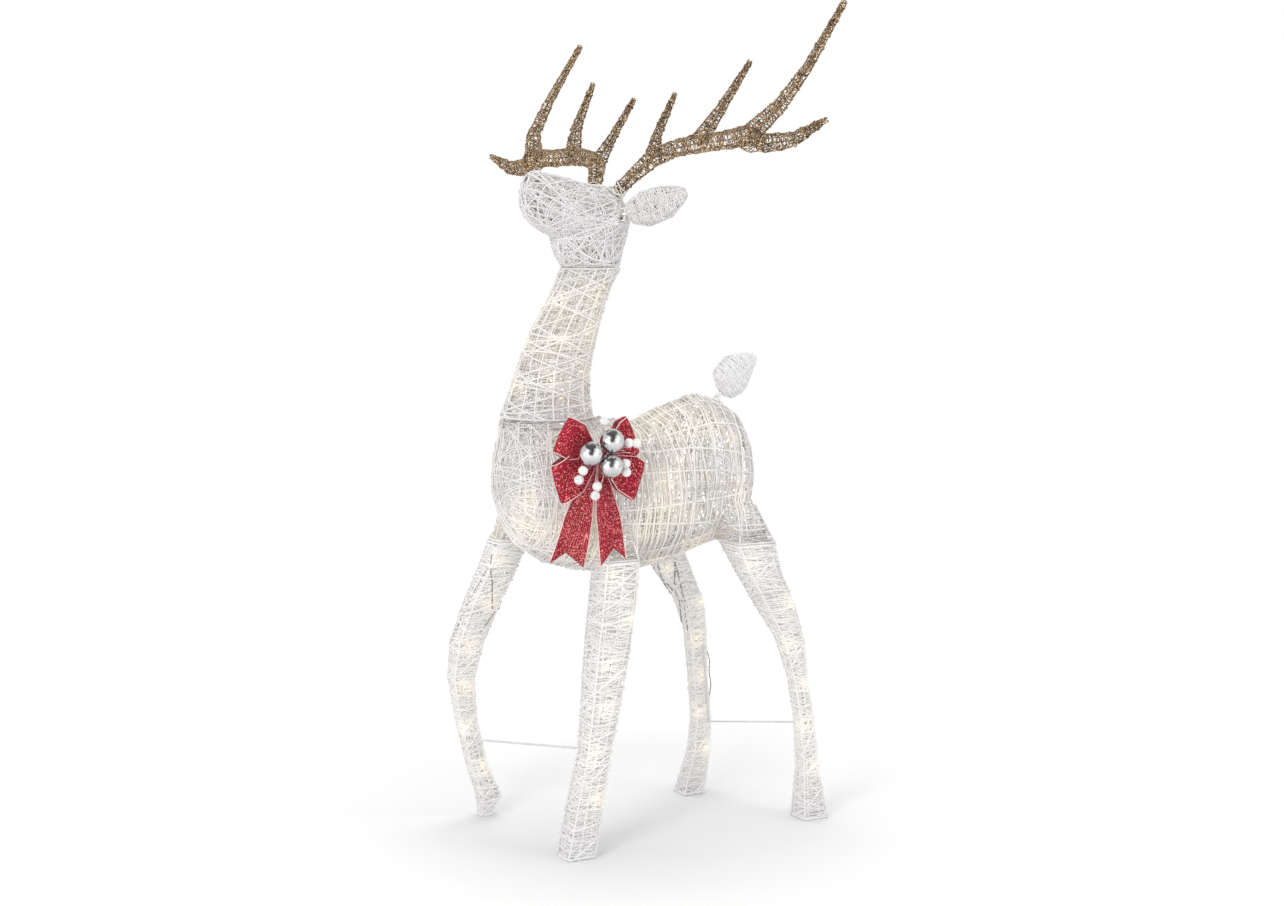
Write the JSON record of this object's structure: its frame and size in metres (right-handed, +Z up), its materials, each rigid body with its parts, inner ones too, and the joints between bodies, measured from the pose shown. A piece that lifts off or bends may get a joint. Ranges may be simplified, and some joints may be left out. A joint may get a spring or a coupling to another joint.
{
  "type": "light up yard reindeer",
  "caption": "Standing buck of wire frames wound in glitter cord with lamps inside, plug-in neck, head, antlers and legs, folding ears and tail, ribbon bow.",
  "frame": {"origin": "on the ground under the middle of the whole reindeer", "axes": "+Z up; the reindeer looks along -Y; its left side, with the bow, is +X"},
  "size_m": [0.9282, 0.653, 1.5195],
  "materials": {
    "frame_white": "white powder coat on steel wire",
    "white_cord": "off-white twisted cord with silver glitter",
    "gold_cord": "gold-brown twisted cord with glitter",
    "lamp_lead": "clear lead and lamps, warm white",
    "clear_plastic": "translucent",
    "red_ribbon": "open glitter weave with wired edges",
    "silver_plate": "mirror plated",
    "bright_wire": "bright soft wire",
    "berry_white": "pearled white"
  },
  "bodies": {
    "trunk": {"trunk_frame": "frame_white", "trunk_lamps": "lamp_lead", "trunk_wrap": "white_cord", "power_inlet": "clear_plastic", "neck_sleeve_front": "frame_white", "neck_sleeve_rear": "frame_white", "tail_staple": "frame_white", "front_left_leg_sleeve": "frame_white", "front_right_leg_sleeve": "frame_white", "hind_left_leg_sleeve": "frame_white", "hind_right_leg_sleeve": "frame_white"},
    "neck": {"neck_frame": "frame_white", "neck_lamps": "lamp_lead", "neck_wrap": "white_cord", "head_sleeve": "frame_white"},
    "head": {"head_frame": "frame_white", "head_wrap": "white_cord", "left_ear_staple": "frame_white", "right_ear_staple": "frame_white", "left_antler_socket": "clear_plastic", "right_antler_socket": "clear_plastic"},
    "left_ear": {"left_ear_frame": "frame_white", "left_ear_wrap": "white_cord"},
    "right_ear": {"right_ear_frame": "frame_white", "right_ear_wrap": "white_cord"},
    "left_antler": {"left_antler_frame": "frame_white", "left_antler_wrap": "gold_cord"},
    "right_antler": {"right_antler_frame": "frame_white", "right_antler_wrap": "gold_cord"},
    "tail": {"tail_frame": "frame_white", "tail_wrap": "white_cord"},
    "front_legs": {"front_left_leg_frame": "frame_white", "front_left_leg_lamps": "lamp_lead", "front_left_leg_wrap": "white_cord", "front_right_leg_frame": "frame_white", "front_right_leg_lamps": "lamp_lead", "front_right_leg_wrap": "white_cord", "front_leg_brace": "frame_white"},
    "hind_legs": {"hind_left_leg_frame": "frame_white", "hind_left_leg_lamps": "lamp_lead", "hind_left_leg_wrap": "white_cord", "hind_right_leg_frame": "frame_white", "hind_right_leg_lamps": "lamp_lead", "hind_right_leg_wrap": "white_cord", "hind_leg_brace": "frame_white"},
    "bow": {"bow_knot": "red_ribbon", "bow_tie_wire": "bright_wire", "bow_loop_upper_front": "red_ribbon", "bow_loop_lower_front": "red_ribbon", "bow_loop_upper_rear": "red_ribbon", "bow_loop_lower_rear": "red_ribbon", "bow_tail_front": "red_ribbon", "bow_tail_rear": "red_ribbon", "ball_left": "silver_plate", "ball_top": "silver_plate", "ball_right": "silver_plate", "berry_spray_front": "berry_white", "berry_spray_lower": "berry_white", "berry_spray_rear": "berry_white", "berry_spray_upper": "berry_white"}
  },
  "joints": [
    {"name": "front_legs_plug", "type": "slide", "parent": "trunk", "child": "front_legs", "axis": [0, 0, -1], "range_m": [0, 0.09]},
    {"name": "hind_legs_plug", "type": "slide", "parent": "trunk", "child": "hind_legs", "axis": [0, 0, -1], "range_m": [0, 0.09]},
    {"name": "neck_plug", "type": "slide", "parent": "trunk", "child": "neck", "axis": [0, 0, 1], "range_m": [0, 0.09]},
    {"name": "head_plug", "type": "slide", "parent": "neck", "child": "head", "axis": [0, 0, 1], "range_m": [0, 0.09]},
    {"name": "left_antler_plug", "type": "slide", "parent": "head", "child": "left_antler", "axis": [0.3296, 0.6522, 0.6827], "range_m": [0, 0.06]},
    {"name": "right_antler_plug", "type": "slide", "parent": "head", "child": "right_antler", "axis": [-0.6394, 0.4141, 0.6478], "range_m": [0, 0.06]},
    {"name": "left_ear_fold", "type": "hinge", "parent": "head", "child": "left_ear", "pos_m": [0.08475, -0.04863, 1.143], "axis": [-0.0237, 0.0966, 0.995], "range_deg": [-20, 25]},
    {"name": "right_ear_fold", "type": "hinge", "parent": "head", "child": "right_ear", "pos_m": [-0.03179, -0.07725, 1.143], "axis": [-0.0237, 0.0966, 0.995], "range_deg": [-25, 20]},
    {"name": "tail_fold", "type": "hinge", "parent": "trunk", "child": "tail", "pos_m": [0.046, 0.169, 0.802], "axis": [1, 0, 0], "range_deg": [-40, 20]},
    {"name": "bow_clip", "type": "slide", "parent": "trunk", "child": "bow", "axis": [1, 0, 0], "range_m": [0, 0.06]}
  ]
}
